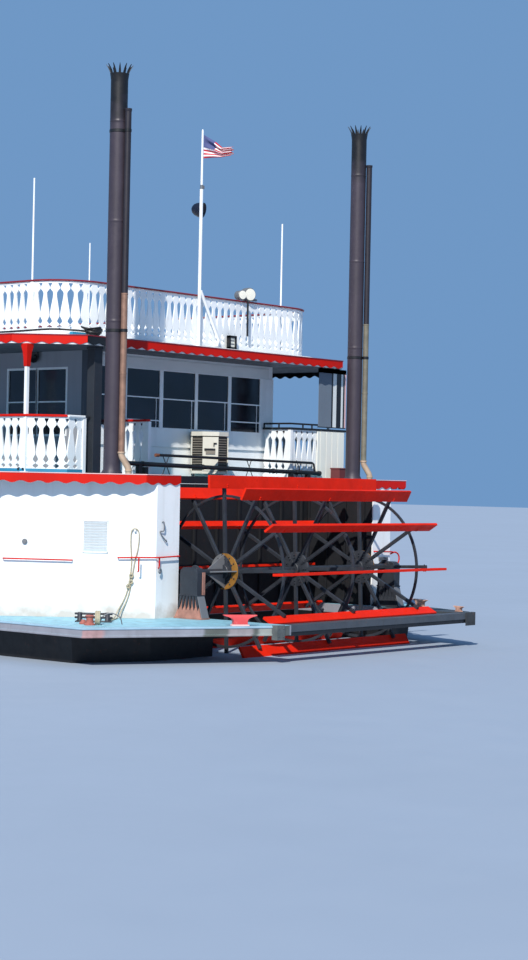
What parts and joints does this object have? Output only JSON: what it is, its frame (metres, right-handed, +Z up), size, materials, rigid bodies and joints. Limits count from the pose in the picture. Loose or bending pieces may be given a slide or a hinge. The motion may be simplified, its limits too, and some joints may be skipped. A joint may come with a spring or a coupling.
{
  "type": "sternwheel paddle boat",
  "caption": "Decked river boat with a paddle wheel in a well at the stern, a hollow deck house and cabin, railed roof deck, pilot house and two tall stacks.",
  "frame": {"origin": "under the middle of the boat, on the plane of the flat hull bottom; the waterline is 1.0 m above it", "axes": "+X to the bow, +Y to port, +Z up"},
  "size_m": [35.67, 12.8, 12.182],
  "materials": {
    "beam_grey": "weathered grey paint",
    "condenser_beige": "matt beige paint",
    "deck_blue": "worn matt light blue deck paint",
    "fender_wood": "weathered grey timber",
    "flag_cloth": "striped woven cloth",
    "hull_black": "worn satin black paint",
    "iron_black": "matt black paint, dusty, a little rust",
    "pipe_tan": "heat-browned pipe",
    "pole_white": "gloss white paint",
    "red_paint": "satin red paint",
    "rope_fibre": "laid fibre rope",
    "white_paint": "satin white paint"
  },
  "bodies": {
    "boat": {"bitts_port": "iron_black", "bitts_starboard": "iron_black", "cabin_wall_bow": "white_paint", "cabin_wall_port": "white_paint", "cabin_wall_starboard": "white_paint", "cabin_wall_stern": "white_paint", "condenser": "condenser_beige", "engine_block": "beam_grey", "exhaust_pipe_port": "pipe_tan", "exhaust_pipe_starboard": "pipe_tan", "fender_port": "fender_wood", "fender_starboard": "fender_wood", "first_deck": "red_paint", "first_rail_port": "white_paint", "first_rail_starboard": "white_paint", "flag": "flag_cloth", "flagpole": "pole_white", "hull": "hull_black", "kevel_stern_port": "red_paint", "kevel_stern_starboard": "red_paint", "lower_quarter_port": "white_paint", "lower_quarter_starboard": "white_paint", "lower_wall_bow": "white_paint", "lower_wall_port": "white_paint", "lower_wall_starboard": "white_paint", "lower_wall_well": "white_paint", "main_deck": "deck_blue", "pedestal_port": "iron_black", "pedestal_starboard": "iron_black", "pilothouse_roof": "red_paint", "pilothouse_walls": "white_paint", "pipe_rack": "iron_black", "roof_deck": "white_paint", "roof_rail": "white_paint", "rope_port": "rope_fibre", "stack_port": "iron_black", "stack_starboard": "iron_black", "stern_beam": "beam_grey", "stern_rail_port": "white_paint", "whip_middle": "pole_white", "whip_port": "pole_white", "whip_starboard": "pole_white"},
    "paddle_wheel": {"plank_01": "red_paint", "plank_02": "red_paint", "plank_03": "red_paint", "plank_04": "red_paint", "plank_05": "red_paint", "plank_06": "red_paint", "plank_07": "red_paint", "plank_08": "red_paint", "plank_09": "red_paint", "plank_10": "red_paint", "plank_11": "red_paint", "plank_12": "red_paint", "wheel_frame": "iron_black"},
    "rudder_port": {"rudder_port": "hull_black"},
    "rudder_starboard": {"rudder_starboard": "hull_black"},
    "door_port": {"door_lower_port": "white_paint"},
    "door_starboard": {"door_lower_starboard": "white_paint"},
    "door_pilothouse": {"door_pilothouse": "white_paint"}
  },
  "joints": [
    {"name": "wheel_spin", "type": "hinge", "parent": "boat", "child": "paddle_wheel", "pos_m": [-15.6, 0, 2.567], "axis": [0, 1, 0], "continuous": true},
    {"name": "rudder_port_turn", "type": "hinge", "parent": "boat", "child": "rudder_port", "pos_m": [-13.47, 1.4, 0.5], "axis": [0, 0, 1], "range_deg": [-35, 35]},
    {"name": "rudder_starboard_turn", "type": "hinge", "parent": "boat", "child": "rudder_starboard", "pos_m": [-13.47, -1.4, 0.5], "axis": [0, 0, 1], "range_deg": [-35, 35]},
    {"name": "door_port_swing", "type": "hinge", "parent": "boat", "child": "door_port", "pos_m": [-5.05, 5.56, 2.7], "axis": [0, 0, -1], "range_deg": [0, 110]},
    {"name": "door_starboard_swing", "type": "hinge", "parent": "boat", "child": "door_starboard", "pos_m": [-5.05, -5.56, 2.7], "axis": [0, 0, 1], "range_deg": [0, 110]},
    {"name": "door_pilothouse_swing", "type": "hinge", "parent": "boat", "child": "door_pilothouse", "pos_m": [4.61, 0.42, 8.12], "axis": [0, 0, -1], "range_deg": [0, 110]}
  ],
  "couplings": [
    {"joint": "rudder_starboard_turn", "follows": "rudder_port_turn", "ratio": 1}
  ]
}
